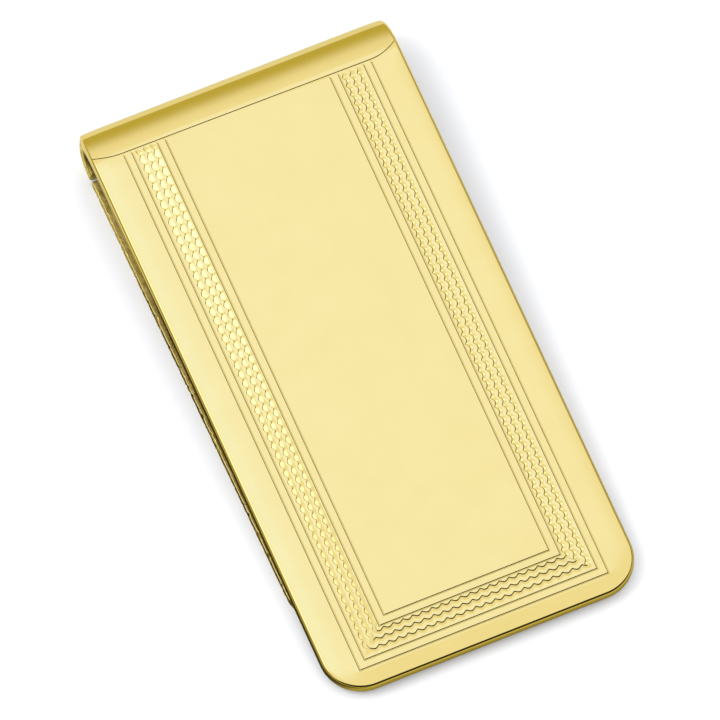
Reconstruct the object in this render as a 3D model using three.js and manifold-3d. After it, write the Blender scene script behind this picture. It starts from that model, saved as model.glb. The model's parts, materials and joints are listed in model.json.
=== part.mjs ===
// Hinged money clip, lying on its back leaf.
// Millimetres, +Z up, +X across the clip, +Y towards the rolled head.
// The origin is under the middle of the clip, on the surface it lies on.
import * as THREE from 'three';
import { mergeVertices } from 'three/addons/utils/BufferGeometryUtils.js';
import Module from 'manifold-3d';

const wasm = await Module();
wasm.setup();

const radians = THREE.MathUtils.degToRad;

// ---- driving dimensions -------------------------------------------------

const width = 25.4;             // both plates, edge to edge
const plateLength = 47.0;       // flat front face, from its free end to the bend
const plateSheet = 1.0;         // sheet thickness of the front plate
const plateCorner = 3.25;       // radius of its two free corners

const rollReach = 3.45;         // how far the rolled head stands past the bend
const rollDepth = 4.4;          // depth of the roll, outside to outside
const lipY = 0.6;               // where the roll's lip ends, past the bend

const leafSheet = 0.65;         // sheet thickness of the back leaf
const leafLength = 40.53;
const leafCorner = 3.0;
const heelReach = 1.93;         // leaf past the hinge axis, inside the roll
const heelBevel = 0.3;          // lets the heel swing past the lip

const pinBehindBend = 1.65;     // hinge axis, measured from the bend and the face
const pinDepth = 2.7;
const pinHeight = 0.85;         // hinge axis above the leaf's inner face
const clampAngle = 3.5;         // leaf to front plate when closed, degrees

const pinRadius = 0.35;
const pinHead = { radius: 0.55, crownRadius: 0.41, thickness: 0.2 };
const runningGap = 0.04;        // knuckle bore on the pin
const fixedGap = 0.02;          // fixed holes on the pin and rivets
const solderGap = 0.05;         // solder film between joined pieces

const knuckle = { length: 11.2, radius: 0.75, footWidth: 1.3 };
const ear = {
  inside: 11.5, thickness: 0.5, radius: 0.72, back: 5.2, heelHeight: 0.9, roundFrom: radians(57.3),
};
const base = { front: 2.0, back: 5.6, thickness: 0.45 };

const spring = { width: 9, thickness: 0.25, bendRadius: 0.85, bendY: 0.7, edgeInset: 0.3 };
const joggle = { start: 0.15, run: 0.6 };         // spring step, from the bracket base's front
const foot = { y: -0.15, half: 0.3, lift: 0.1, curl: 0.07 };
const rivet = {
  radius: 0.4, headRadius: 0.7, crownRadius: 0.5, headThickness: 0.25, spacing: 5, y: -4.0,
};

const roundSides = 32;
const cutMargin = 1;            // how far cutting tools stand past what they cut

// ---- materials ----------------------------------------------------------

const gold = (name, color, roughness) =>
  new THREE.MeshStandardMaterial({ name, color, roughness, metalness: 1 });

const polishedGold = () => gold('polished_gold', 0xf3dc86, 0.08);
const satinGold = () => gold('satin_gold', 0xd9bd66, 0.3);
const springSteel = () => gold('spring_steel', 0x8f9296, 0.35);
const brass = () => gold('brass', 0xc9a24c, 0.3);

// ---- geometry helpers ---------------------------------------------------

// A closed outline drawn in (y, z), run along X and centred on it.
function extrudeAcross(shape, length) {
  const geometry = new THREE.ExtrudeGeometry(shape, {
    depth: length,
    bevelEnabled: false,
    curveSegments: roundSides / 4,
  });
  const toYZX = new THREE.Matrix4().makeBasis(
    new THREE.Vector3(0, 1, 0),
    new THREE.Vector3(0, 0, 1),
    new THREE.Vector3(1, 0, 0),
  );
  geometry.applyMatrix4(toYZX);
  return geometry.translate(-length / 2, 0, 0);
}

// A closed outline drawn in (x, y), run from low to high along Z.
function extrudeUp(shape, low, high) {
  const geometry = new THREE.ExtrudeGeometry(shape, {
    depth: high - low,
    bevelEnabled: false,
    curveSegments: roundSides / 4,
  });
  return geometry.translate(0, 0, low);
}

// A turned piece whose axis runs along X, or along Z when upright.
function turn(profile, upright) {
  const points = profile.map(([r, along]) => new THREE.Vector2(r, along));
  const geometry = new THREE.LatheGeometry(points, roundSides);
  return upright ? geometry.rotateX(Math.PI / 2) : geometry.rotateZ(-Math.PI / 2);
}

function toSolid(geometry) {
  const plain = geometry.clone();
  plain.deleteAttribute('normal');
  plain.deleteAttribute('uv');
  const merged = mergeVertices(plain, 1e-5);
  return new wasm.Manifold(new wasm.Mesh({
    numProp: 3,
    vertProperties: new Float32Array(merged.attributes.position.array),
    triVerts: new Uint32Array(merged.index.array),
  }));
}

function toGeometry(solid) {
  const { vertProperties, triVerts } = solid.getMesh();
  const geometry = new THREE.BufferGeometry();
  geometry.setAttribute('position', new THREE.BufferAttribute(vertProperties, 3));
  geometry.setIndex(new THREE.BufferAttribute(triVerts, 1));
  geometry.computeVertexNormals();
  return geometry;
}

const subtract = (geometry, ...tools) => toGeometry(
  tools.reduce((solid, tool) => solid.subtract(toSolid(tool)), toSolid(geometry)),
);
const join = (geometry, ...others) => toGeometry(
  others.reduce((solid, other) => solid.add(toSolid(other)), toSolid(geometry)),
);
const common = (geometry, other) => toGeometry(
  toSolid(geometry).intersect(toSolid(other)),
);

function polygon(points) {
  return new THREE.Shape(points.map(([a, b]) => new THREE.Vector2(a, b)));
}

// A strip's outline in (x, y): square at the near end, with round corners at the far end.
function roundedEnd(halfWidth, far, near, radius) {
  const shape = new THREE.Shape();
  shape.moveTo(halfWidth, near);
  shape.lineTo(-halfWidth, near);
  shape.lineTo(-halfWidth, far + radius);
  shape.absarc(-halfWidth + radius, far + radius, radius, Math.PI, 1.5 * Math.PI, false);
  shape.lineTo(halfWidth - radius, far);
  shape.absarc(halfWidth - radius, far + radius, radius, 1.5 * Math.PI, 2 * Math.PI, false);
  shape.closePath();
  return shape;
}

// Sheet of even thickness that follows a path of [y, z] points.
function sheetAlong(path, thickness) {
  const left = [];
  const right = [];
  path.forEach(([y, z], i) => {
    const before = path[Math.max(i - 1, 0)];
    const after = path[Math.min(i + 1, path.length - 1)];
    const along = new THREE.Vector2(after[0] - before[0], after[1] - before[1]).normalize();
    const side = new THREE.Vector2(-along.y, along.x).multiplyScalar(thickness / 2);
    left.push([y + side.x, z + side.y]);
    right.push([y - side.x, z - side.y]);
  });
  return polygon([...right, ...left.reverse()]);
}

function arc(centreY, centreZ, radius, from, to, steps) {
  return Array.from({ length: steps + 1 }, (_, i) => {
    const angle = from + (to - from) * i / steps;
    return [centreY + radius * Math.cos(angle), centreZ + radius * Math.sin(angle)];
  });
}

// ---- front plate --------------------------------------------------------
// Face frame: y = 0 at the bend, z = 0 on the polished face.

function frontPlate() {
  const halfDepth = rollDepth / 2;
  const steps = 40;
  const outside = [];
  const inside = [];
  for (let i = 0; i <= steps; i += 1) {
    const t = Math.PI * i / steps;
    const y = rollReach * Math.sin(t);
    const z = halfDepth * Math.cos(t) - halfDepth;
    const normal = new THREE.Vector2(Math.sin(t) / rollReach, Math.cos(t) / halfDepth);
    normal.normalize();
    outside.push([y, z]);
    inside.push([y - normal.x * plateSheet, z - normal.y * plateSheet]);
  }
  const sheet = polygon([
    [-plateLength, -plateSheet],
    ...inside,
    ...outside.reverse(),
    [-plateLength, 0],
  ]);
  const lipCut = polygon([
    [-cutMargin, -rollDepth - cutMargin],
    [lipY, -rollDepth - cutMargin],
    [lipY, -halfDepth],
    [-cutMargin, -halfDepth],
  ]);
  const outline = roundedEnd(width / 2, -plateLength, rollReach + cutMargin, plateCorner);
  const cutter = extrudeAcross(lipCut, width + 2 * cutMargin);
  const trimmed = subtract(extrudeAcross(sheet, width), cutter);
  return common(trimmed, extrudeUp(outline, -rollDepth - cutMargin, cutMargin));
}

// ---- hinge bracket ------------------------------------------------------
// Folded channel soldered under the face: a base and two ears for the pin.

function hingeBracket() {
  const top = -plateSheet - solderGap;
  const outer = ear.inside / 2 + ear.thickness;
  const baseFront = -pinBehindBend - base.front;
  const baseBack = -pinBehindBend - base.back;
  const plate = extrudeUp(polygon([
    [-outer, baseBack], [outer, baseBack], [outer, baseFront], [-outer, baseFront],
  ]), top - base.thickness, top);

  const pinY = -pinBehindBend;
  const side = new THREE.Shape();
  side.moveTo(pinY + ear.radius, top);
  side.lineTo(pinY - ear.back, top);
  side.lineTo(pinY - ear.back, top - ear.heelHeight);
  const roundFrom = -Math.PI / 2 - ear.roundFrom;
  side.lineTo(
    pinY + ear.radius * Math.cos(roundFrom), -pinDepth + ear.radius * Math.sin(roundFrom),
  );
  side.absarc(pinY, -pinDepth, ear.radius, roundFrom, 0, false);
  side.closePath();
  const hole = new THREE.Path();
  hole.absarc(pinY, -pinDepth, pinRadius + fixedGap, 0, 2 * Math.PI, true);
  side.holes.push(hole);

  const middle = (ear.inside + ear.thickness) / 2;
  const ears = [-middle, middle].map((x) =>
    extrudeAcross(side, ear.thickness).translate(x, 0, 0));
  return subtract(join(plate, ...ears), ...rivetDrills(top));
}

function rivetPlaces() {
  return [-rivet.spacing / 2, rivet.spacing / 2].map((x) => [x, rivet.y]);
}

function rivetDrills(z) {
  const radius = rivet.radius + fixedGap;
  const drill = [[0, -cutMargin], [radius, -cutMargin], [radius, cutMargin], [0, cutMargin]];
  return rivetPlaces().map(([x, y]) => turn(drill, true).translate(x, y, z));
}

// ---- pressure spring ----------------------------------------------------
// Flat strip: riveted leg, joggle up over the knuckle, bend inside the roll,
// and a free leg whose foot presses the leaf's heel.

function springPath() {
  const underBase = -plateSheet - 2 * solderGap - base.thickness - spring.thickness / 2;
  const underFace = -plateSheet - solderGap - spring.thickness / 2;
  const bend = arc(
    spring.bendY, -rollDepth / 2, spring.bendRadius, Math.PI / 2, -Math.PI / 2, roundSides / 2,
  );
  const footZ = -pinDepth - pinHeight + spring.thickness / 2 + foot.lift;
  const joggleY = -pinBehindBend - base.front + joggle.start;
  return [
    [-pinBehindBend - base.back + spring.edgeInset, underBase],
    [joggleY, underBase],
    [joggleY + joggle.run, underFace],
    [-pinBehindBend, underFace],
    ...bend,
    [foot.y + foot.half, footZ + foot.curl],
    [foot.y, footZ],
    [foot.y - foot.half, footZ + foot.curl],
  ];
}

function pressureSpring() {
  const strip = extrudeAcross(sheetAlong(springPath(), spring.thickness), spring.width);
  return subtract(strip, ...rivetDrills(-plateSheet - base.thickness - spring.thickness));
}

function springRivet() {
  const top = -plateSheet - 2 * solderGap;
  const seat = top - base.thickness - spring.thickness - 2 * solderGap;
  const bottom = seat - rivet.headThickness;
  return turn([
    [0, bottom],
    [rivet.crownRadius, bottom],
    [rivet.headRadius, bottom + rivet.headThickness / 2],
    [rivet.headRadius, seat],
    [rivet.radius, seat],
    [rivet.radius, top],
    [0, top],
  ], true);
}

// ---- hinge pin and knuckle ----------------------------------------------
// Both are drawn about the hinge axis.

function hingePin() {
  const shank = ear.inside / 2 + ear.thickness + fixedGap;
  const end = shank + pinHead.thickness;
  return turn([
    [0, -end],
    [pinHead.crownRadius, -end],
    [pinHead.radius, -end + pinHead.thickness / 2],
    [pinHead.radius, -shank],
    [pinRadius, -shank],
    [pinRadius, shank],
    [pinHead.radius, shank],
    [pinHead.radius, end - pinHead.thickness / 2],
    [pinHead.crownRadius, end],
    [0, end],
  ], false);
}

function leafKnuckle() {
  const half = knuckle.footWidth / 2;
  const spread = Math.asin(half / knuckle.radius);
  const outline = new THREE.Shape();
  outline.moveTo(half, -pinHeight);
  outline.absarc(0, 0, knuckle.radius, -Math.PI / 2 + spread, 1.5 * Math.PI - spread, false);
  outline.lineTo(-half, -pinHeight);
  outline.closePath();
  const bore = new THREE.Path();
  bore.absarc(0, 0, pinRadius + runningGap, 0, 2 * Math.PI, true);
  outline.holes.push(bore);
  return extrudeAcross(outline, knuckle.length);
}

// ---- back leaf ----------------------------------------------------------
// Drawn about the hinge axis too; its inner face is pinHeight below it.

function backLeaf() {
  const inner = -pinHeight;
  const outer = inner - leafSheet;
  const far = heelReach - leafLength;
  const sheet = polygon([
    [far, outer],
    [heelReach - heelBevel, outer],
    [heelReach, outer + heelBevel],
    [heelReach, inner],
    [far, inner],
  ]);
  const outline = roundedEnd(width / 2, far, heelReach + cutMargin, leafCorner);
  return common(
    extrudeAcross(sheet, width), extrudeUp(outline, outer - cutMargin, inner + cutMargin),
  );
}

// ---- assembly -----------------------------------------------------------

const group = new THREE.Group();
const faceSide = new THREE.Group();
const leafSide = new THREE.Group();

// The leaf lies flat, and the origin is under the middle of the whole clip.
const tilt = radians(clampAngle);
const axisZ = leafSheet + pinHeight;
const freeEndY = (pinBehindBend - plateLength) * Math.cos(tilt) - pinDepth * Math.sin(tilt);
const headEndY = pinBehindBend * Math.cos(tilt)
  - (pinDepth - rollDepth / 2) * Math.sin(tilt)
  + Math.hypot(rollReach * Math.cos(tilt), rollDepth / 2 * Math.sin(tilt));
const axisY = -(freeEndY + headEndY) / 2;

faceSide.position.set(0, axisY, axisZ);
faceSide.rotation.x = tilt;
leafSide.position.set(0, axisY, axisZ);
group.add(faceSide, leafSide);

// Pieces drawn in the face frame move so that the hinge axis is at zero.
function addToFace(name, geometry, material, x = 0, y = 0) {
  const mesh = new THREE.Mesh(geometry, material);
  mesh.name = name;
  mesh.position.set(x, y + pinBehindBend, pinDepth);
  faceSide.add(mesh);
}

function addAtAxis(name, geometry, material) {
  const mesh = new THREE.Mesh(geometry, material);
  mesh.name = name;
  leafSide.add(mesh);
}

addToFace('front_plate', frontPlate(), polishedGold());
addToFace('hinge_bracket', hingeBracket(), satinGold());
addToFace('pressure_spring', pressureSpring(), springSteel());
rivetPlaces().forEach(([x, y], i) => {
  addToFace(`spring_rivet_${['left', 'right'][i]}`, springRivet(), brass(), x, y);
});
addAtAxis('hinge_pin', hingePin(), brass());
addAtAxis('leaf_knuckle', leafKnuckle(), satinGold());
addAtAxis('back_leaf', backLeaf(), polishedGold());

export default group;
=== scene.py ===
# Hinged money clip: an engraved gold face rolled over at its head, and a sprung back leaf.
# The clip lies on its back leaf. Sizes are in millimetres until they become mesh points, in metres.
# The face frame has x across, y = 0 at the bend and z = 0 on the polished face.
import json
import math

import bmesh
import bpy
import numpy as np
from mathutils import Matrix, Vector, noise


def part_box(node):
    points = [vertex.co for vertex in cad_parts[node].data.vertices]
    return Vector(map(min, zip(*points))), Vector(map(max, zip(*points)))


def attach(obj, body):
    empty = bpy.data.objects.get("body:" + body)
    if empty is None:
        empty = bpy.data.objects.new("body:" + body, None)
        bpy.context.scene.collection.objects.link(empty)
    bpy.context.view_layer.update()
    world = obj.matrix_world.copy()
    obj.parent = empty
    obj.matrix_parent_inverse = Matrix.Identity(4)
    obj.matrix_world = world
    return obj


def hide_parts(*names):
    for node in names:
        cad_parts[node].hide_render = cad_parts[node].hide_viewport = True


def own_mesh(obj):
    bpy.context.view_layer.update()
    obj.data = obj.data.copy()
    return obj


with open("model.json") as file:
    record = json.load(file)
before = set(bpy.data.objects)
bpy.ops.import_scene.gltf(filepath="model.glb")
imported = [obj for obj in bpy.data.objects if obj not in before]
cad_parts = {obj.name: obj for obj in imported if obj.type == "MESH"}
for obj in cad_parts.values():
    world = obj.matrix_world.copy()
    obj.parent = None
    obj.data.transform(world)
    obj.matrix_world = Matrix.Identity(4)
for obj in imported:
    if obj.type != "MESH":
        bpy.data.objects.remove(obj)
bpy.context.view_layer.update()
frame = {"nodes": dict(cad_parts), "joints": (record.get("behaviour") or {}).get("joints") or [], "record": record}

MM = 0.001
RECORD = frame["record"]
HINGE = next(j for j in frame["joints"] if j["name"] == "leaf_hinge")
FACE_MOUNT = next(m for m in RECORD["mounts"] if m["name"] == "face_panel")

# ---- sizes shared with the CAD model, in mm ----

HALF_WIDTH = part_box("front_plate")[1].x / MM
PLATE_LENGTH = 47.0
PLATE_SHEET = 1.0
PLATE_CORNER = 3.25
ROLL_REACH = 3.45
ROLL_HALF_DEPTH = 2.2
LIP_Y = 0.6
LEAF_SHEET = 0.65
LEAF_LENGTH = 40.53
LEAF_CORNER = 3.0
HEEL_REACH = 1.93
HEEL_BEVEL = 0.3
PIN_BEHIND_BEND = 1.65
PIN_DEPTH = 2.7
PIN_HEIGHT = 0.85

# ---- the engraved border, in mm ----

BORDER_SIDE = 2.51              # the outermost line, from the plate's long edge
BORDER_END = 1.55               # the outermost line, from the plate's free end
STRAIGHT_LINES = (0.0, 0.645, 2.75, 3.41)
GROOVE_HALF_WIDTH = 0.075
GROOVE_DEPTH = 0.031
GROOVE_FLOOR = 0.18             # the flat floor, as a share of the groove's width
GROOVE_FADE = 0.2               # all cuts run out this far from the bend
WAVY_LINES = (1.08, 1.70, 2.28)
WAVE_SHIFTS = (0.18, 0.15, 0.25)
WAVE_PERIOD = 0.79
WAVE_HEIGHT = 0.1
WAVE_SCALLOP = 0.6              # the share of a wave that is round bulges, the rest being a sine
# A scoop's section from outside in, as (place, share of its depth, share of the wave's height).
# The graver leans the same way all round, so its steep wall is the left one on both legs.
SCOOP_ON_LEFT = ((-0.07, 0, 1), (0, 1, 1), (0.15, 0.5, 0.8), (0.3, 0.07, 0.5), (0.33, 0, 0.4))
SCOOP_ELSEWHERE = ((-0.08, 0, 1), (-0.04, 0.1, 1), (0.06, 0.5, 1), (0.17, 1, 1), (0.25, 0, 1))
SCOOP_DEPTH_AT_HEAD = 0.085
SCOOP_DEPTH_AT_END = 0.045
SCOOP_DEPTH_ELSEWHERE = 0.04
SCOOP_AT_CUSP = 0.35            # share of its depth that a scoop keeps at a cusp
SCOOP_FADE = 0.5                # scoops get shallower this far from the bend

# Seen from the middle of a rounded corner, the border's outermost corner stands at this angle.
BORDER_CORNER = math.atan2(PLATE_CORNER - BORDER_END, PLATE_CORNER - BORDER_SIDE)

# ---- edges and bend of the face, in mm ----

EDGE_ROUND = 0.27
LIP_ROUND = 0.08
EDGE_STEPS = 9
DUB_WIDTH = 1.8
DUB_DEPTH = 0.05
DUB_INSETS = (0.35, 0.55, 0.75, 0.95, 1.15)
FACE_NORMAL = (0.0, -1.0)       # as (outward, downward) in the section
MARGIN_COLUMNS = 5
LEAD_RUN = 1.0
LEAD_DEPTH = 0.025
CREASE_NEAR = 0.03
CREASE_FAR = 0.085
CREASE_DEPTH = 0.03
CREASE_CURL_LEFT = 0.5
CREASE_CURL_RIGHT = 0.95
CREASE_CURL_REACH = 2.5
CREASE_CURL_RUN = 3.0
CREASE_SKEW = 0.008
HEAD_CORNER_TUCK = 0.28
HEAD_CORNER_REACH = 1.3
HEAD_CORNER_SPREAD = 0.5        # along the bend, in radians

# ---- how finely the face is drawn ----

LEG_SAMPLES = 900
END_SAMPLES = 390
ARC_SAMPLES = 30
PANEL_ROWS = 24
HEAD_STATIONS = 72
HALVINGS = 40                   # steps of a search by halving
SMOOTH_BELOW = math.radians(12)

# ---- which material a point of the face shows, by its place in the list of materials ----

POLISHED, SAWN_AND_SHADED, INSIDE = 0, 1, 2
# The roll's far side takes the darker sheared gold: rough cut ends, and painted shade.
SHADED_SAWN_FROM = 4.6                 # past this the roll's cut ends are left unpolished
SHADED_SAWN_BELOW = EDGE_ROUND / 2
# Deeper than this the plate shows the darker inside gold: painted shade under the plate and inside the roll.
INSIDE_BELOW = PLATE_SHEET - EDGE_ROUND / 3


# ---- placing ----

def face_frame():
    """Face-frame millimetres to row-frame metres: tilted about the closed hinge, as the CAD face is."""
    axis = Vector(FACE_MOUNT["axis"])
    tilt = math.atan2(-axis.y, axis.z)
    about_hinge = Matrix.Translation((0.0, PIN_BEHIND_BEND, PIN_DEPTH))
    at_hinge = Matrix.Translation(Vector(HINGE["pos_m"]))
    return at_hinge @ Matrix.Scale(MM, 4) @ Matrix.Rotation(tilt, 4, "X") @ about_hinge


def leaf_frame():
    """Millimetres about the hinge axis to row-frame metres. The leaf isn't tilted."""
    return Matrix.Translation(Vector(HINGE["pos_m"])) @ Matrix.Scale(MM, 4)


FACE = face_frame()
LEAF = leaf_frame()


def stand_in(name, mesh, materials, body, node):
    """A finished mesh with crisp creases that stands for a CAD node."""
    mesh.polygons.foreach_set("use_smooth", [True] * len(mesh.polygons))
    mesh.set_sharp_from_angle(angle=SMOOTH_BELOW)
    for material in materials:
        mesh.materials.append(material)
    obj = bpy.data.objects.new(name, mesh)
    bpy.context.scene.collection.objects.link(obj)
    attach(obj, body)
    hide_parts(node)
    return obj


def mesh_from(name, points, faces, placed):
    mesh = bpy.data.meshes.new(name)
    mesh.from_pydata([placed @ Vector(p) for p in points], [], faces)
    return mesh


# ---- front plate ----
# It is drawn as a flat blank of columns: each column is one line that runs down the left leg
# of the border, across the free end and up the right leg. Then the blank is bent at its head.
# Blank coordinates are x across, v along (0 at the bend) and e, the depth below the face.

def wave_phase(along, row):
    return np.pi * (along - WAVE_SHIFTS[row]) / WAVE_PERIOD


def wave_push(along, row):
    """How far a wavy line stands out of its straight track: round bulges outward, cusps inward."""
    phase = wave_phase(along, row)
    scallop = 2 * np.abs(np.cos(phase)) - 1
    return WAVE_HEIGHT * (WAVE_SCALLOP * scallop + (1 - WAVE_SCALLOP) * np.cos(2 * phase))


def scoop_share(along, row):
    """On the left leg each bulge of a wavy line is one cut of the graver, deepest in its middle."""
    return SCOOP_AT_CUSP + (1 - SCOOP_AT_CUSP) * np.abs(np.cos(wave_phase(along, row)))


def border_column(offset, row=None, sway=1.0):
    """One track of the border, this far inside the outermost line. A row number makes it wavy.
    It gives x, v, and how far along the pattern each point is."""
    outer_side = HALF_WIDTH - BORDER_SIDE
    outer_end = BORDER_END - PLATE_LENGTH
    side = outer_side - offset
    end = outer_end + offset

    def push(along):
        return 0 * along if row is None else sway * wave_push(along, row)

    corner_push = push(np.array(offset))
    right_end_y = end - push(np.array(outer_side + side))
    left_y = np.linspace(0, end - corner_push, LEG_SAMPLES, endpoint=False)
    end_x = np.linspace(-side - corner_push, side + corner_push, END_SAMPLES, endpoint=False)
    right_y = np.linspace(right_end_y, 0, LEG_SAMPLES + 1)
    x = np.concatenate([-side - push(left_y - outer_end), end_x, side + push(right_y - outer_end)])
    v = np.concatenate([left_y, end - push(end_x + outer_side), right_y])
    return x, v, np.concatenate([left_y - outer_end, end_x + outer_side, right_y - outer_end])


def edge_column(inset):
    """The plate's outline with its rounded corners, moved this far in."""
    radius = PLATE_CORNER - inset
    centre_x = HALF_WIDTH - PLATE_CORNER
    centre_y = PLATE_CORNER - PLATE_LENGTH
    straight_leg = np.linspace(0, centre_y, LEG_SAMPLES - ARC_SAMPLES, endpoint=False)
    to_corner = np.linspace(0, BORDER_CORNER, ARC_SAMPLES, endpoint=False)
    from_corner = np.linspace(BORDER_CORNER, np.pi / 2, ARC_SAMPLES, endpoint=False)
    left_arc = np.concatenate([to_corner, from_corner])
    right_arc = np.append(0, np.pi / 2 - left_arc[:0:-1])
    straight_end = np.linspace(-centre_x, centre_x, END_SAMPLES - 2 * ARC_SAMPLES, endpoint=False)
    right_leg = np.linspace(centre_y, 0, LEG_SAMPLES - ARC_SAMPLES + 1)
    x = np.concatenate([
        np.full_like(straight_leg, inset - HALF_WIDTH),
        -centre_x - radius * np.cos(left_arc),
        straight_end,
        centre_x + radius * np.sin(right_arc),
        np.full_like(right_leg, HALF_WIDTH - inset),
    ])
    v = np.concatenate([
        straight_leg,
        centre_y - radius * np.sin(left_arc),
        np.full_like(straight_end, inset - PLATE_LENGTH),
        centre_y - radius * np.cos(right_arc),
        right_leg,
    ])
    return x, v


def dub(inset):
    """Buffing wears the face down a little towards its edges."""
    return DUB_DEPTH * max(0.0, 1 - inset / DUB_WIDTH) ** 2


def edge_columns():
    """Columns round the plate's edge, from under it to the face, with the section's outward normal."""
    columns = []
    for step in range(EDGE_STEPS + 1):
        angle = math.pi / 2 * (1 - step / EDGE_STEPS)
        inset = EDGE_ROUND * (1 - math.cos(angle))
        depth = PLATE_SHEET - EDGE_ROUND * (1 - math.sin(angle))
        columns.append((*edge_column(inset), depth, (math.cos(angle), math.sin(angle))))
    for step in range(EDGE_STEPS + 1):
        angle = math.pi / 2 * step / EDGE_STEPS
        inset = EDGE_ROUND * (1 - math.cos(angle))
        depth = EDGE_ROUND * (1 - math.sin(angle)) + dub(inset)
        columns.append((*edge_column(inset), depth, (math.cos(angle), -math.sin(angle))))
    for inset in DUB_INSETS:
        columns.append((*edge_column(inset), dub(inset), FACE_NORMAL))
    return columns


def margin_columns(edge, border):
    """Columns of the plain margin, passing from the rounded outline to the border's square one."""
    columns = []
    for t in np.linspace(0, 1, MARGIN_COLUMNS + 2)[1:-1]:
        x = edge[0] + (border[0] - edge[0]) * t
        v = edge[1] + (border[1] - edge[1]) * t
        columns.append((x, v, dub(DUB_INSETS[-1]) * (1 - t) ** 2, FACE_NORMAL))
    return columns


def blank_columns():
    """All columns from under the edge to the innermost line: x, v, e, and the section's outward normal."""
    edge = edge_columns()
    engraved = engraved_columns()
    return edge + margin_columns(edge[-1], engraved[0]) + engraved


def past_left_leg(v):
    """0 down the left leg, rising to 1 just above its corner, and 1 from there on."""
    share = np.ones_like(v)
    left = v[:LEG_SAMPLES]
    share[:LEG_SAMPLES] = np.clip(1 - (left - left[-1]) / WAVE_PERIOD, 0, 1)
    return share


def scoop_column(offset, row, on_left, elsewhere):
    """One column of a row of scoops, which changes its place and depth once past the left leg."""
    x, v, along = border_column(offset + on_left[0], row, on_left[2])
    other_x, other_v, _ = border_column(offset + elsewhere[0], row, elsewhere[2])
    change = past_left_leg(v)
    depth = on_left[1] * np.interp(-v, (0, PLATE_LENGTH), (SCOOP_DEPTH_AT_HEAD, SCOOP_DEPTH_AT_END))
    depth *= scoop_share(along, row)
    depth += (elsewhere[1] * SCOOP_DEPTH_ELSEWHERE - depth) * change
    depth *= np.clip(-v / SCOOP_FADE, 0, 1)
    return x + (other_x - x) * change, v + (other_v - v) * change, depth


def engraved_columns():
    """The border's columns, from the outermost line in: V grooves, and wavy rows of sloping scoops."""
    floor = GROOVE_FLOOR * GROOVE_HALF_WIDTH
    groove = ((-GROOVE_HALF_WIDTH, 0), (-floor, 1), (floor, 1), (GROOVE_HALF_WIDTH, 0))
    lines = [(offset, None) for offset in STRAIGHT_LINES]
    lines += [(offset, row) for row, offset in enumerate(WAVY_LINES)]
    columns = []
    for offset, row in sorted(lines, key=lambda line: line[0]):
        if row is None:
            tracks = [(*border_column(offset + side)[:2], share * GROOVE_DEPTH) for side, share in groove]
        else:
            tracks = [scoop_column(offset, row, *both) for both in zip(SCOOP_ON_LEFT, SCOOP_ELSEWHERE)]
        for x, v, depth in tracks:
            columns.append((x, v, depth * np.clip(-v / GROOVE_FADE, 0, 1), FACE_NORMAL))
    return columns


def bend(x, v, e):
    """From the flat blank to the face frame, where the head past v = 0 follows a half ellipse.
    The head's two corners are tucked in a little where it reaches furthest."""
    t = np.maximum(v, 0) / ROLL_REACH
    across, up = np.sin(t) / ROLL_REACH, np.cos(t) / ROLL_HALF_DEPTH
    length = np.hypot(across, up)
    y = np.minimum(v, 0) + ROLL_REACH * np.sin(t) - e * across / length
    z = ROLL_HALF_DEPTH * (np.cos(t) - 1) - e * up / length
    reach = np.maximum(np.abs(x) - (HALF_WIDTH - HEAD_CORNER_REACH), 0) / HEAD_CORNER_REACH
    tuck = HEAD_CORNER_TUCK * np.exp(-((t - np.pi / 2) / HEAD_CORNER_SPREAD) ** 2)
    return x - np.sign(x) * tuck * reach ** 2, y, z


def curl_crease(x, v):
    """The crease runs a little askew, and swings towards the head near both sides."""
    reach = np.maximum(np.abs(x) - (HALF_WIDTH - CREASE_CURL_REACH), 0) / CREASE_CURL_REACH
    curl = np.where(x < 0, CREASE_CURL_LEFT, CREASE_CURL_RIGHT)
    near = np.maximum(0, 1 - np.abs(v) / CREASE_CURL_RUN)
    return v + (curl * reach ** 2 - CREASE_SKEW * x) * near


def crease(v, e):
    """The face sinks a little towards the bend and meets the roll in a fine groove."""
    sink = LEAD_DEPTH * np.clip(1 + v / LEAD_RUN, 0, 1) ** 2
    groove = np.interp(v, (0, CREASE_NEAR, CREASE_FAR), (LEAD_DEPTH, CREASE_DEPTH, 0))
    return e + np.where(e < PLATE_SHEET / 2, np.where(v < 0, sink, groove), 0)


def station_for(target_y, e):
    """How far along the sheet, past its extreme, a layer at depth e comes back to this y."""
    low, high = np.full_like(e, ROLL_REACH * np.pi / 2), np.full_like(e, ROLL_REACH * np.pi)
    for _ in range(HALVINGS):
        middle = (low + high) / 2
        ahead = bend(0 * e, middle, e)[1] > target_y
        low, high = np.where(ahead, middle, low), np.where(ahead, high, middle)
    return low


def around(values):
    """A ring round the sheet's section at the bend: each column's first value, then back by the last."""
    return np.concatenate([values[:, 0], values[::-1, -1]])


def finish_and_shade_of(v, e):
    """Which material each point of the plate shows."""
    # The far round of the roll shows the darker sheared gold, partly painted shade.
    outside = np.where((v > SHADED_SAWN_FROM) & (e > SHADED_SAWN_BELOW), SAWN_AND_SHADED, POLISHED)
    # The inside of the sheet takes the darker inside gold as painted shade.
    return np.where(e > INSIDE_BELOW, INSIDE, outside)


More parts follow.
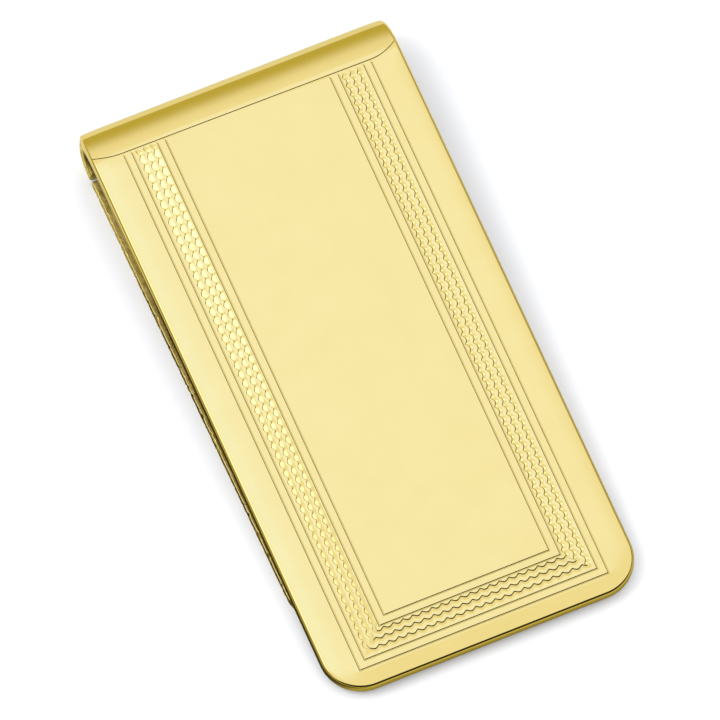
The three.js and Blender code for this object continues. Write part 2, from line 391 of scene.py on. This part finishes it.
def head_rings(x, e, normal_x, normal_e):
    """The head's section from the bend to its rounded lip: the points of each ring, and their finish, whose darker
    materials paint shade.
    """
    ends = station_for(LIP_Y + LIP_ROUND, e)
    last = ends.max()
    rings = []
    for distance in [CREASE_NEAR, *np.linspace(CREASE_FAR, last, HEAD_STATIONS + 1)]:
        v = curl_crease(x, distance * ends / last)
        rings.append((bend(x, v, crease(np.full_like(e, distance), e)), finish_and_shade_of(v, e)))
    for step in range(1, EDGE_STEPS + 1):
        angle = math.pi / 2 * step / EDGE_STEPS
        inset = LIP_ROUND * (1 - math.cos(angle))
        layer = e - normal_e * inset
        v = station_for(LIP_Y + LIP_ROUND * (1 - math.sin(angle)), layer)
        rings.append((bend(x - normal_x * inset, v, layer), finish_and_shade_of(v, e)))
    # The lip's end gets the darker inside gold: painted shade in the gap at the leaf's heel.
    rings[-1][1][:] = INSIDE
    return rings


def strip(near, far):
    """Quads between two lines of points."""
    return np.stack([near[:-1], near[1:], far[1:], far[:-1]], axis=-1)


def closed_strip(near, far):
    """Quads between two rings of points."""
    return np.stack([near, np.roll(near, -1), np.roll(far, -1), far], axis=-1)


def plate_faces(index, rings):
    """The columns, the head's rings, the plain panel inside the border, and the flat closing faces."""
    panel = index[-1]
    across = panel[::-1]
    quads = [strip(a, b) for a, b in zip(index, index[1:])]
    quads += [closed_strip(near, far) for near, far in zip(rings, rings[1:])]
    quads.append(strip(panel[:PANEL_ROWS + 1], across[:PANEL_ROWS + 1]))
    closing = [panel[PANEL_ROWS:-PANEL_ROWS], index[0][::-1], rings[-1]]
    return np.concatenate(quads).tolist() + [face.tolist() for face in closing]


def front_plate(materials):
    columns = blank_columns()
    blank_x, blank_v = (np.array([column[part] for column in columns]) for part in (0, 1))
    blank_e = np.array([np.broadcast_to(column[2], len(column[0])) for column in columns])
    outward, downward = (np.array([column[3][part] for column in columns]) for part in (0, 1))
    normal_x = np.concatenate([-outward, outward[::-1]])
    normal_e = np.concatenate([downward, downward[::-1]])
    flat = bend(blank_x, curl_crease(blank_x, blank_v), crease(blank_v, blank_e))
    index = np.arange(blank_x.size).reshape(blank_x.shape)
    points = [np.stack(flat, axis=-1).reshape(-1, 3)]
    finish_and_shade = [finish_and_shade_of(blank_v, blank_e).reshape(-1)]
    rings = [around(index)]
    for ring, surface in head_rings(around(blank_x), around(blank_e), normal_x, normal_e):
        first = index.size + len(surface) * (len(rings) - 1)
        rings.append(np.arange(first, first + len(surface)))
        points.append(np.stack(ring, axis=-1))
        finish_and_shade.append(surface)
    mesh = mesh_from("engraved_face", np.concatenate(points).tolist(), plate_faces(index, rings), FACE)
    finish_and_shade = np.concatenate(finish_and_shade).tolist()
    for polygon in mesh.polygons:
        polygon.material_index = min(finish_and_shade[i] for i in polygon.vertices)
    return stand_in("engraved_face", mesh, materials, "root", "front_plate")


# ---- back leaf ----

LEAF_EDGE_ROUND = 0.1
LEAF_SPACING = 0.12
LEAF_WALL_ROWS = 6
SHEAR_DEPTH = 0.14
SHEAR_SCALE = (2.6, 2.6, 5.2)


def leaf_outline(inset):
    """The leaf's outline, counter-clockwise seen from the face: round corners at the free end."""
    near, far = HEEL_REACH - inset, HEEL_REACH - LEAF_LENGTH + inset
    side, radius = HALF_WIDTH - inset, LEAF_CORNER - inset
    centre_x, centre_y = HALF_WIDTH - LEAF_CORNER, HEEL_REACH - LEAF_LENGTH + LEAF_CORNER
    leg = int((LEAF_LENGTH - LEAF_CORNER) / LEAF_SPACING)
    end = int(2 * centre_x / LEAF_SPACING)
    heel = int(2 * HALF_WIDTH / LEAF_SPACING)
    arc = np.linspace(0, np.pi / 2, ARC_SAMPLES, endpoint=False)
    left = np.linspace(near, centre_y, leg, endpoint=False)
    across = np.linspace(-centre_x, centre_x, end, endpoint=False)
    right = np.linspace(centre_y, near, leg, endpoint=False)
    back = np.linspace(side, -side, heel, endpoint=False)
    x = np.concatenate([
        np.full_like(left, -side), -centre_x - radius * np.cos(arc), across,
        centre_x + radius * np.sin(arc), np.full_like(right, side), back,
    ])
    y = np.concatenate([
        left, centre_y - radius * np.sin(arc), np.full_like(across, far),
        centre_y - radius * np.cos(arc), right, np.full_like(back, near),
    ])
    return x, y


def leaf_rows(inner, outer):
    """The leaf's edge from its outer face to its inner one, as (inset, height) rows."""
    rows = []
    for step in range(EDGE_STEPS + 1):
        angle = math.pi / 2 * (1 - step / EDGE_STEPS)
        inset = LEAF_EDGE_ROUND * (1 - math.cos(angle))
        rows.append((inset, outer + LEAF_EDGE_ROUND * (1 - math.sin(angle))))
    wall = np.linspace(outer + LEAF_EDGE_ROUND, inner - LEAF_EDGE_ROUND, LEAF_WALL_ROWS + 1)
    rows += [(0.0, z) for z in wall[1:-1]]
    return rows + [(inset, inner + outer - z) for inset, z in reversed(rows[:EDGE_STEPS + 1])]


def roughened(x, y, z):
    """The sheared edges are rough: x pulled in by an uneven amount."""
    rough = noise.noise(Vector(a * scale for a, scale in zip((x, y, z), SHEAR_SCALE)))
    return x * (1 - SHEAR_DEPTH * max(0.0, rough) / HALF_WIDTH)


def back_leaf(materials):
    """The lower half of its sheared edge and its inner face are left rough and darker, as painted shade, the rest
    is polished.
    """
    inner, outer = -PIN_HEIGHT, -PIN_HEIGHT - LEAF_SHEET
    rows = leaf_rows(inner, outer)
    points = []
    for inset, z in rows:
        for x, y in zip(*leaf_outline(inset)):
            bevel = max(0.0, y - (HEEL_REACH - HEEL_BEVEL))
            points.append((roughened(x, y, z), y, max(z, outer + bevel)))
    size = len(points) // len(rows)
    index = np.arange(len(points)).reshape(len(rows), size)
    faces = np.concatenate([closed_strip(low, high) for low, high in zip(index, index[1:])]).tolist()
    faces += [index[0][::-1].tolist(), index[-1].tolist()]
    mesh = mesh_from("sprung_leaf", points, faces, LEAF)
    inner_face = len(faces) - 1
    # The leaf's lower wall and its inner face take the darker sheared gold: rough, and painted shade.
    for polygon in mesh.polygons:
        low_on_wall = EDGE_STEPS <= polygon.index // size < EDGE_STEPS + LEAF_WALL_ROWS // 2
        polygon.material_index = int(low_on_wall or polygon.index == inner_face)
    return stand_in("sprung_leaf", mesh, materials, "leaf", "back_leaf")


# ---- hinge and spring ----

PIN_RADIUS = 0.35
PIN_HEAD = 0.55
PIN_HALF_SPAN = 6.27
PIN_CROWN = 0.2
BASE_SHEET = 0.45               # the bracket's base
SOLDER_GAP = 0.05
SPRING_SHEET = 0.25
SPRING_HALF_WIDTH = 4.5
SPRING_TAIL_Y = -6.95
SPRING_JOGGLE_Y = (-3.5, -2.9)
SPRING_BEND = 0.85
SPRING_BEND_Y = 0.7
SPRING_BEND_STEPS = 32
SPRING_EDGE = 0.05
SPRING_EDGE_STEPS = 4
SPRING_FILLET = 0.35
FOOT_Y = -0.15
FOOT_HALF = 0.3
FOOT_LIFT = 0.1
FOOT_CURL = 0.07
FOOT_FILLET = 0.12
RIVET_RADIUS = 0.4
RIVET_HEAD = 0.7
RIVET_CROWN = 0.25
RIVET_SPACING = 5.0
RIVET_Y = -4.0
RIVET_TOP = -PLATE_SHEET - 2 * SOLDER_GAP
RIVET_SEAT = RIVET_TOP - BASE_SHEET - SPRING_SHEET - 2 * SOLDER_GAP
TURNED_SIDES = 48
DOME_STEPS = 8
DOME_LAND = 0.25                # share of a head's height that is its straight rim
ON_AXIS = 1e-6
BRACKET_EDGE = 0.07
KNUCKLE_EDGE = 0.06
BEVEL_STEPS = 4
SAME_POINT = 1e-7               # in metres
FLAT_BELOW = math.radians(1)
SHARP_ABOVE = math.radians(30)


def dome(radius, height, seat, away):
    """A crowned head's profile, from its rim at the seat to its middle."""
    land = DOME_LAND * height
    angles = np.linspace(0, np.pi / 2, DOME_STEPS + 1)
    crown = [(radius * math.cos(t), seat + away * (land + (height - land) * math.sin(t))) for t in angles]
    return [(radius, seat)] + crown


def turned(profile, spin):
    """A solid turned from (radius, along) points, with flat caps instead of points on the axis.
    Spin turns a radius, an angle and a height to a point."""
    profile = [(r, along) for r, along in profile if r > ON_AXIS]
    angles = np.linspace(0, 2 * np.pi, TURNED_SIDES, endpoint=False)
    points = [spin(r, angle, along) for r, along in profile for angle in angles]
    index = np.arange(len(points)).reshape(len(profile), TURNED_SIDES)
    faces = np.concatenate([closed_strip(low, high) for low, high in zip(index, index[1:])]).tolist()
    return points, faces + [index[0][::-1].tolist(), index[-1].tolist()]


def hinge_pin(material):
    left = dome(PIN_HEAD, PIN_CROWN, -PIN_HALF_SPAN, -1)
    right = dome(PIN_HEAD, PIN_CROWN, PIN_HALF_SPAN, 1)
    shank = [(PIN_RADIUS, -PIN_HALF_SPAN), (PIN_RADIUS, PIN_HALF_SPAN)]
    points, faces = turned(
        left[::-1] + shank + right,
        lambda r, angle, along: (along, r * math.cos(angle), r * math.sin(angle)),
    )
    mesh = mesh_from("peened_pin", points, faces, LEAF)
    return stand_in("peened_pin", mesh, [material], "root", "hinge_pin")


def rivet(side, x, material):
    head = dome(RIVET_HEAD, RIVET_CROWN, RIVET_SEAT, -1)
    shank = [(RIVET_RADIUS, RIVET_SEAT), (RIVET_RADIUS, RIVET_TOP)]
    points, faces = turned(
        head[::-1] + shank,
        lambda r, angle, along: (x + r * math.cos(angle), RIVET_Y + r * math.sin(angle), along),
    )
    name = f"domed_rivet_{side}"
    mesh = mesh_from(name, points, faces, FACE)
    return stand_in(name, mesh, [material], "root", f"spring_rivet_{side}")


def softened_copy(name, node, edge, material, body):
    """A CAD node's own shape with whole flats and softened edges."""
    edit = bmesh.new()
    edit.from_mesh(frame["nodes"][node].data)
    bmesh.ops.remove_doubles(edit, verts=edit.verts, dist=SAME_POINT)
    bmesh.ops.dissolve_limit(edit, angle_limit=FLAT_BELOW, verts=edit.verts, edges=edit.edges)
    sharp = [e for e in edit.edges if e.calc_face_angle(0) > SHARP_ABOVE]
    bmesh.ops.bevel(
        edit, geom=sharp, offset=edge * MM, segments=BEVEL_STEPS, profile=0.5, affect="EDGES",
        clamp_overlap=True,
    )
    mesh = bpy.data.meshes.new(name)
    edit.to_mesh(mesh)
    edit.free()
    return stand_in(name, mesh, [material], body, node)


def spring_lines():
    """The strip's middle line in (y, z), in three stretches: riveted leg, joggle and top leg; bend; foot."""
    joggle_from, joggle_to = SPRING_JOGGLE_Y
    under_base = RIVET_TOP - BASE_SHEET - SPRING_SHEET / 2
    under_face = -PLATE_SHEET - SOLDER_GAP - SPRING_SHEET / 2
    sole = -PIN_DEPTH - PIN_HEIGHT + SPRING_SHEET / 2 + FOOT_LIFT
    top = [
        (SPRING_TAIL_Y, under_base), (joggle_from, under_base), (joggle_to, under_face),
        (-PIN_BEHIND_BEND, under_face),
    ]
    turn = [
        (SPRING_BEND_Y + SPRING_BEND * math.cos(t), -ROLL_HALF_DEPTH + SPRING_BEND * math.sin(t))
        for t in np.linspace(np.pi / 2, -np.pi / 2, SPRING_BEND_STEPS + 1)
    ]
    curled = sole + FOOT_CURL
    return top, turn, [(FOOT_Y + FOOT_HALF, curled), (FOOT_Y, sole), (FOOT_Y - FOOT_HALF, curled)]


def rounded(path, radius, steps=6):
    """The path with each corner eased over this distance."""
    eased = [path[0]]
    for before, corner, after in zip(path, path[1:], path[2:]):
        c, b, a = Vector(corner), Vector(before), Vector(after)
        back, ahead = b - c, a - c
        one = c + back.normalized() * min(radius, back.length / 2)
        two = c + ahead.normalized() * min(radius, ahead.length / 2)
        for t in np.linspace(0, 1, steps + 1):
            eased.append(tuple(one.lerp(c, t).lerp(c.lerp(two, t), t)))
    return eased + [path[-1]]


def spring_section():
    """The strip's section with rounded edges, as (across, out) points."""
    side = SPRING_HALF_WIDTH - SPRING_EDGE
    out = SPRING_SHEET / 2 - SPRING_EDGE
    section = []
    for quarter, (x, n) in enumerate(((side, out), (-side, out), (-side, -out), (side, -out))):
        for t in np.linspace(0, np.pi / 2, SPRING_EDGE_STEPS + 1):
            angle = t + quarter * np.pi / 2
            section.append((x + SPRING_EDGE * math.cos(angle), n + SPRING_EDGE * math.sin(angle)))
    return section


def pressure_spring(material):
    top, turn, foot = spring_lines()
    path = rounded(top + turn[:1], SPRING_FILLET) + turn[1:-1] + rounded(turn[-1:] + foot, FOOT_FILLET)
    section = spring_section()
    points = []
    for i, (y, z) in enumerate(path):
        before, after = Vector(path[max(i - 1, 0)]), Vector(path[min(i + 1, len(path) - 1)])
        along = (after - before).normalized()
        points += [(x, y - along.y * out, z + along.x * out) for x, out in section]
    index = np.arange(len(points)).reshape(len(path), len(section))
    faces = np.concatenate([closed_strip(high, low) for low, high in zip(index, index[1:])]).tolist()
    faces += [index[0].tolist(), index[-1][::-1].tolist()]
    mesh = mesh_from("bent_spring", points, faces, FACE)
    piece = stand_in("bent_spring", mesh, [material], "root", "pressure_spring")
    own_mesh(piece)
    return piece


# ---- materials ----

def node_material(name):
    material = bpy.data.materials.new(name)
    material.use_nodes = True
    tree = material.node_tree
    return material, tree, tree.nodes["Principled BSDF"]


def in_mm(tree, stretch=(1, 1, 1)):
    """Object coordinates in millimetres, optionally stretched."""
    place = tree.nodes.new("ShaderNodeTexCoord")
    scale = tree.nodes.new("ShaderNodeMapping")
    scale.inputs["Scale"].default_value = [s / MM for s in stretch]
    tree.links.new(place.outputs["Object"], scale.inputs["Vector"])
    return scale.outputs["Vector"]


def noise_from(tree, vector, scale, detail=3.0):
    """Noise with this many features a unit of the vector."""
    texture = tree.nodes.new("ShaderNodeTexNoise")
    texture.inputs["Scale"].default_value = scale
    texture.inputs["Detail"].default_value = detail
    tree.links.new(vector, texture.inputs["Vector"])
    return texture.outputs["Fac"]


def between(tree, factor, low, high, from_low=0.3, from_high=0.7):
    """Low where the factor is at from_low, high at from_high, and clamped beyond them."""
    ramp = tree.nodes.new("ShaderNodeMapRange")
    ramp.inputs["From Min"].default_value = from_low
    ramp.inputs["From Max"].default_value = from_high
    ramp.inputs["To Min"].default_value = low
    ramp.inputs["To Max"].default_value = high
    tree.links.new(factor, ramp.inputs["Value"])
    return ramp.outputs["Result"]


def mixed(tree, factor, low, high):
    """Low where the factor is 0, high where it is 1. Each is a colour or the socket that gives one."""
    mix = tree.nodes.new("ShaderNodeMix")
    mix.data_type = "RGBA"
    for side, colour in (("A", low), ("B", high)):
        if isinstance(colour, tuple):
            mix.inputs[side].default_value = (*colour, 1)
        else:
            tree.links.new(colour, mix.inputs[side])
    tree.links.new(factor, mix.inputs["Factor"])
    return mix.outputs["Result"]


def add_bump(tree, height, distance, below=None):
    bump = tree.nodes.new("ShaderNodeBump")
    bump.inputs["Distance"].default_value = distance * MM
    tree.links.new(height, bump.inputs["Height"])
    if below is not None:
        tree.links.new(below, bump.inputs["Normal"])
    return bump.outputs["Normal"]


def metal(name, dark, light, rough, grain, grain_depth, wander_depth, clouds=0.35):
    """Metal with cloudy colour, patchy polish, a directional grain and a slow waviness."""
    material, tree, shader = node_material(name)
    plain = in_mm(tree)
    cloud = between(tree, noise_from(tree, plain, scale=clouds), 0, 1)
    polish = noise_from(tree, plain, scale=0.9, detail=5.0)
    lines = noise_from(tree, in_mm(tree, grain), scale=1.0, detail=2.0)
    slow = noise_from(tree, plain, scale=0.12, detail=0.0)
    shader.inputs["Metallic"].default_value = 1.0
    tree.links.new(mixed(tree, cloud, dark, light), shader.inputs["Base Color"])
    tree.links.new(between(tree, polish, *rough), shader.inputs["Roughness"])
    wavy = add_bump(tree, slow, wander_depth)
    tree.links.new(add_bump(tree, lines, grain_depth, wavy), shader.inputs["Normal"])
    return material


def polished_gold():
    return metal(
        "polished_gold_plate", dark=(0.90, 0.74, 0.305), light=(0.92, 0.76, 0.325), rough=(0.04, 0.08),
        grain=(14, 0.8, 14), grain_depth=0.00012, wander_depth=0.004,
    )


def inner_gold_shaded():
    """The unpolished inside of the face: thin plate, dull, and darker as painted shade inside the roll and under
    the plate.
    """
    return metal(
        "unpolished_gold_painted_shade", dark=(0.50, 0.41, 0.11), light=(0.66, 0.54, 0.16), rough=(0.25, 0.45),
        grain=(3, 0.6, 3), grain_depth=0.002, wander_depth=0.004,
    )


def sheared_gold_and_shade():
    """Cut edges and the leaf's inside, plated over a rough surface: mottled, and darker as painted shade under the
    plate, at the leaf's lower edge and on the roll's far side.
    """
    return metal(
        "sheared_gold_painted_shade", dark=(0.60, 0.46, 0.11), light=(0.98, 0.83, 0.36), rough=(0.3, 0.6),
        grain=(3, 3, 3), grain_depth=0.02, wander_depth=0.004, clouds=2.2,
    )


def satin_gold():
    return metal(
        "satin_gold_plate", dark=(0.80, 0.61, 0.24), light=(0.88, 0.69, 0.29), rough=(0.22, 0.34),
        grain=(0.6, 9, 9), grain_depth=0.002, wander_depth=0.004,
    )


def drawn_brass():
    return metal(
        "drawn_brass", dark=(0.70, 0.50, 0.18), light=(0.80, 0.60, 0.24), rough=(0.2, 0.32),
        grain=(1, 12, 12), grain_depth=0.002, wander_depth=0.002,
    )


def spring_strip():
    return metal(
        "tempered_strip", dark=(0.30, 0.31, 0.34), light=(0.42, 0.43, 0.46), rough=(0.25, 0.4),
        grain=(12, 0.5, 0.5), grain_depth=0.002, wander_depth=0.002,
    )


# ---- studio ----

# What the polish mirrors of the room: colours by the height, or z, of the direction they lie in.
HORIZON_TO_TOP = (
    (0.33, (0.55, 0.48, 0.12)), (0.50, (0.62, 0.55, 0.23)), (0.62, (0.74, 0.68, 0.46)),
    (0.74, (0.89, 0.85, 0.69)), (0.86, (0.96, 0.94, 0.83)),
)
# Lit round areas overhead: colour, direction, and the angles in degrees where each is full and gone.
PANEL = ((1.03, 1.07, 1.19), (0.17, 0.33, 0.93), 3.5, 7.0)
GLOW = ((1.04, 1.15, 1.45), (0.085, 0.277, 0.957), 2.0, 5.0)
WINDOW = ((1.7, 1.75, 2.0), (-0.25, 0.28, 0.93), 5.0, 10.0)
# Dark flags, by the part of a direction where each starts and where it is full.
SIDE_FLAGS_X = (0.62, 0.85)
SIDE_FLAGS_KEEP = 0.3
NEAR_FLAG_Y = (-0.2, -0.36)
NEAR_FLAG_KEEP = 0.02
FLAGS_FADE_Z = (0.24, 0.38)
ROOM_WHITE = (1.20, 1.22, 1.27)

# The floor, with sizes in mm. Polish sees painted shade on it: an ellipse of dark olive round the clip, and a dark
# strip of painted shadow on its left.
FLOOR_HALF = 3.0 / MM
FLOOR_WHITE = (0.9, 0.9, 0.9)
FLOOR_ROUGHNESS = 0.9
# The floor colours below are seen only by polish: painted shade, darker and warmer than the white the camera sees.
MIRRORED_FLOOR_SHADE = (0.62, 0.59, 0.43)
MIRRORED_SHADE_ROUND_CLIP = (0.36, 0.31, 0.09)
SHADE_MIDDLE_Y = -8.0
SHADE_HALF_WIDTH = 28.0
SHADE_HALF_LENGTH = 32.0
SHADE_FADE = (0.9, 1.1)          # as shares of its half width and length
LEFT_MIRRORED_SHADOW = (0.05, 0.04, 0.015)
LEFT_SHADOW_EDGE_X = (-13.0, -11.5)
LEFT_SHADOW_END_Y = (10.0, 16.0)

# The key light, in metres and watts.
KEY_SIZE = 0.25
KEY_POWER = 0.45
KEY_AT = (-0.25, 0.08, 0.32)


def mirrored_only(tree, plain, mirrored):
    """One colour for what the camera and the diffuse light see, another for what polish mirrors."""
    path = tree.nodes.new("ShaderNodeLightPath")
    return mixed(tree, path.outputs["Is Glossy Ray"], plain, mirrored)


def times(tree, colour, factor):
    scale = tree.nodes.new("ShaderNodeVectorMath")
    scale.operation = "SCALE"
    tree.links.new(colour, scale.inputs[0])
    tree.links.new(factor, scale.inputs["Scale"])
    return scale.outputs["Vector"]


def with_area(tree, direction, colour, area):
    """The colour with a lit round area on it."""
    lit, centre, full, gone = area
    towards = tree.nodes.new("ShaderNodeVectorMath")
    towards.operation = "DOT_PRODUCT"
    towards.inputs[1].default_value = Vector(centre).normalized()
    tree.links.new(direction, towards.inputs[0])
    cosines = math.cos(math.radians(gone)), math.cos(math.radians(full))
    return mixed(tree, between(tree, towards.outputs["Value"], 0, 1, *cosines), colour, lit)


def floor_material():
    """White. Polish mirrors it as a warm grey of painted shade, darker still round the clip, with a black painted
    shadow on its left.
    """
    material, tree, shader = node_material("pale_floor")
    reach = tree.nodes.new("ShaderNodeVectorMath")
    reach.operation = "DISTANCE"
    reach.inputs[1].default_value = (0, SHADE_MIDDLE_Y / SHADE_HALF_LENGTH, 0)
    tree.links.new(in_mm(tree, (1 / SHADE_HALF_WIDTH, 1 / SHADE_HALF_LENGTH, 0)), reach.inputs[0])
    beyond = between(tree, reach.outputs["Value"], 0, 1, *SHADE_FADE)
    split = tree.nodes.new("ShaderNodeSeparateXYZ")
    tree.links.new(in_mm(tree), split.inputs["Vector"])
    left = between(tree, split.outputs["X"], 1, 0, *LEFT_SHADOW_EDGE_X)
    near = between(tree, split.outputs["Y"], 1, 0, *LEFT_SHADOW_END_Y)
    both = tree.nodes.new("ShaderNodeMath")
    both.operation = "MULTIPLY"
    tree.links.new(left, both.inputs[0])
    tree.links.new(near, both.inputs[1])
    # painted shade round the clip and a painted shadow on its left, seen only in polish
    shade_round_clip = mixed(tree, beyond, MIRRORED_SHADE_ROUND_CLIP, MIRRORED_FLOOR_SHADE)
    mirrored = mixed(tree, both.outputs["Value"], shade_round_clip, LEFT_MIRRORED_SHADOW)
    tree.links.new(mirrored_only(tree, FLOOR_WHITE, mirrored), shader.inputs["Base Color"])
    shader.inputs["Roughness"].default_value = FLOOR_ROUGHNESS
    shader.inputs["Specular IOR Level"].default_value = 0.0
    return material


def add_floor():
    half = FLOOR_HALF
    corners = [(-half, -half, 0), (half, -half, 0), (half, half, 0), (-half, half, 0)]
    mesh = mesh_from("floor", corners, [(0, 1, 2, 3)], Matrix.Scale(MM, 4))
    mesh.materials.append(floor_material())
    floor = bpy.data.objects.new("floor", mesh)
    bpy.context.scene.collection.objects.link(floor)


def horizon_to_top(tree, height):
    """The room's colours by height, as a ramp."""
    ramp = tree.nodes.new("ShaderNodeValToRGB")
    elements = ramp.color_ramp.elements
    for element, (position, colour) in zip(elements, (HORIZON_TO_TOP[0], HORIZON_TO_TOP[-1])):
        element.position = position
        element.color = (*colour, 1)
    for position, colour in HORIZON_TO_TOP[1:-1]:
        elements.new(position).color = (*colour, 1)
    tree.links.new(height, ramp.inputs["Fac"])
    return ramp.outputs["Color"]


def flagged(tree, colour, x, y, z):
    """The colour darkened by the flags at both sides and near the camera, which end above the horizon."""
    sideways = tree.nodes.new("ShaderNodeMath")
    sideways.operation = "ABSOLUTE"
    tree.links.new(x, sideways.inputs[0])
    side_flags = between(tree, sideways.outputs["Value"], 1, SIDE_FLAGS_KEEP, *SIDE_FLAGS_X)
    near_flag = between(tree, y, NEAR_FLAG_KEEP, 1, *reversed(NEAR_FLAG_Y))
    dark = times(tree, times(tree, colour, side_flags), near_flag)
    return mixed(tree, between(tree, z, 1, 0, *FLAGS_FADE_Z), dark, colour)


def add_world():
    """A white room. Polish mirrors a lit panel with a glow in it, a brighter window left of them, a warm
    dim horizon, and dark flags."""
    world = bpy.data.worlds.new("studio")
    bpy.context.scene.world = world
    world.use_nodes = True
    tree = world.node_tree
    direction = tree.nodes.new("ShaderNodeTexCoord").outputs["Generated"]
    split = tree.nodes.new("ShaderNodeSeparateXYZ")
    tree.links.new(direction, split.inputs["Vector"])
    colour = horizon_to_top(tree, split.outputs["Z"])
    for area in (PANEL, GLOW, WINDOW):
        colour = with_area(tree, direction, colour, area)
    colour = flagged(tree, colour, *split.outputs)
    tree.links.new(mirrored_only(tree, ROOM_WHITE, colour), tree.nodes["Background"].inputs["Color"])


def add_key():
    """A broad soft key on the far left. It lights the floor and isn't mirrored in the polish."""
    light = bpy.data.lights.new("broad_key", "AREA")
    light.shape = "DISK"
    light.size = KEY_SIZE
    light.energy = KEY_POWER
    lamp = bpy.data.objects.new("broad_key", light)
    lamp.location = KEY_AT
    lamp.rotation_euler = Vector(lamp.location).to_track_quat("Z", "Y").to_euler()
    lamp.visible_camera = False
    lamp.visible_glossy = False
    bpy.context.scene.collection.objects.link(lamp)


# The camera, in metres, apart from the point of the face that it aims beside.
CAMERA_AZIMUTH = math.radians(-23.3)
CAMERA_ELEVATION = math.radians(64.9)
CAMERA_DISTANCE = 1.5
CAMERA_CLIP = (0.05, 20.0)
FIELD_WIDTH = 54.4 * MM
AIM_ON_FACE = (0.09, -22.87, 0.0)
AIM_RIGHT = 0.55 * MM
AIM_UP = -0.30 * MM


def add_camera():
    data = bpy.data.cameras.new("camera")
    camera = bpy.data.objects.new("camera", data)
    bpy.context.scene.collection.objects.link(camera)
    level = math.cos(CAMERA_ELEVATION)
    back = Vector((
        math.sin(CAMERA_AZIMUTH) * level, -math.cos(CAMERA_AZIMUTH) * level, math.sin(CAMERA_ELEVATION),
    ))
    facing = (-back).to_track_quat("-Z", "Y")
    right, up = facing @ Vector((1, 0, 0)), facing @ Vector((0, 1, 0))
    aim = FACE @ Vector(AIM_ON_FACE) - right * AIM_RIGHT - up * AIM_UP
    camera.location = aim + back * CAMERA_DISTANCE
    camera.rotation_mode = "QUATERNION"
    camera.rotation_quaternion = facing
    data.lens = data.sensor_width * CAMERA_DISTANCE / FIELD_WIDTH
    data.clip_start, data.clip_end = CAMERA_CLIP
    bpy.context.scene.camera = camera


# ---- build ----

add_camera()
add_floor()
add_world()
add_key()
bpy.context.scene.view_settings.view_transform = "Standard"

gold, sheared_and_shaded = polished_gold(), sheared_gold_and_shade()
satin, brass = satin_gold(), drawn_brass()
front_plate([gold, sheared_and_shaded, inner_gold_shaded()])
back_leaf([gold, sheared_and_shaded])
softened_copy("folded_bracket", "hinge_bracket", BRACKET_EDGE, satin, "root")
softened_copy("soldered_knuckle", "leaf_knuckle", KNUCKLE_EDGE, satin, "leaf")
hinge_pin(brass)
rivet("left", -RIVET_SPACING / 2, brass)
rivet("right", RIVET_SPACING / 2, brass)
pressure_spring(spring_strip())
